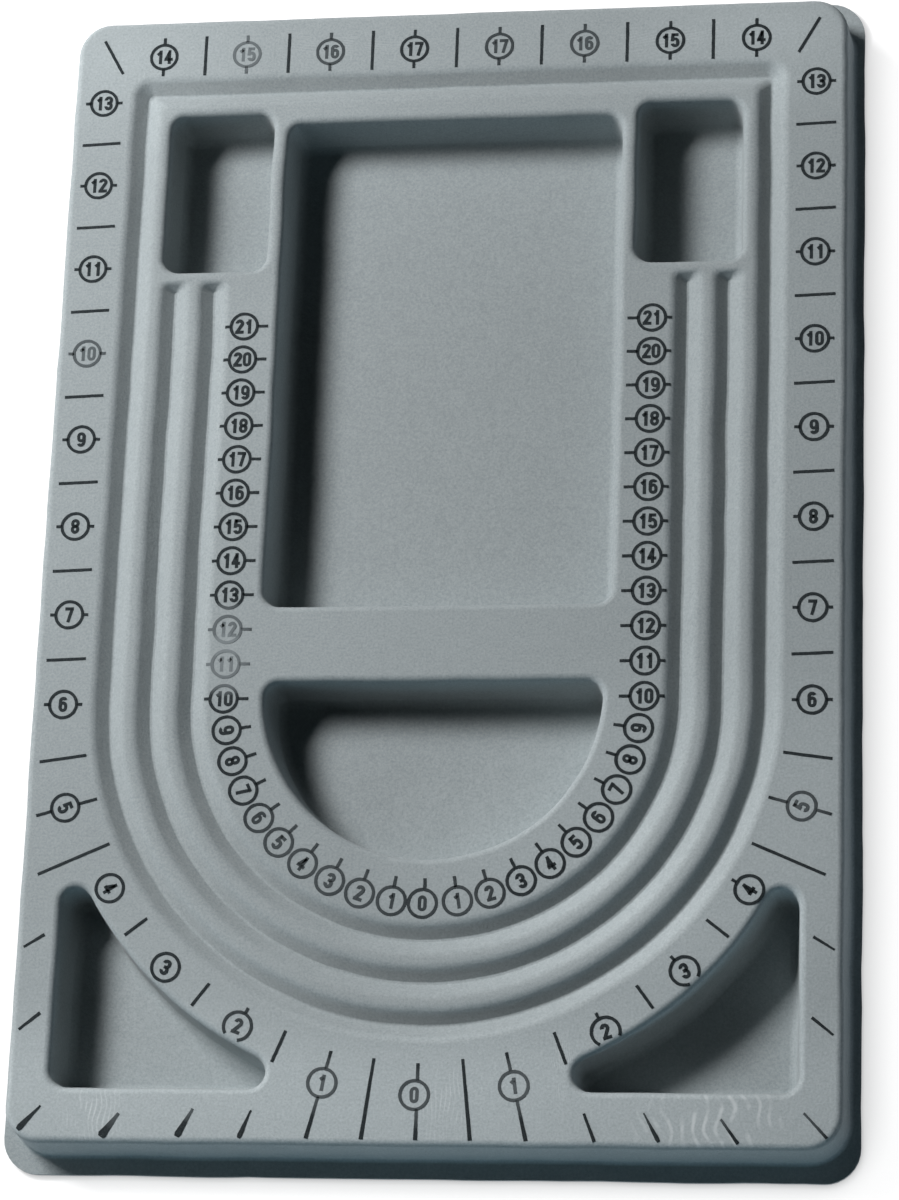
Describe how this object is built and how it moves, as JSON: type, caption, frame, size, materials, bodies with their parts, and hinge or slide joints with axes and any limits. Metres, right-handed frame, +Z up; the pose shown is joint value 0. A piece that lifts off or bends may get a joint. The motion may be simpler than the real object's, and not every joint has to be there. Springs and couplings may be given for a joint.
{
  "type": "bead board",
  "caption": "Flocked bead board: a formed plastic tray with concentric U-shaped bead channels, storage wells and printed inch and centimetre scales, hollow underneath.",
  "frame": {"origin": "centre of the board's outline, on the table that it lies on", "axes": "+Y along the board towards the straight end with the small wells, +X across it, +Z up out of the face"},
  "size_m": [0.228, 0.335, 0.018],
  "materials": {
    "tray_plastic": "satin",
    "grey_flock": "matte",
    "black_ink": "matte"
  },
  "bodies": {
    "root": {"formed_tray": "tray_plastic", "flock_layer": "grey_flock"}
  },
  "joints": []
}
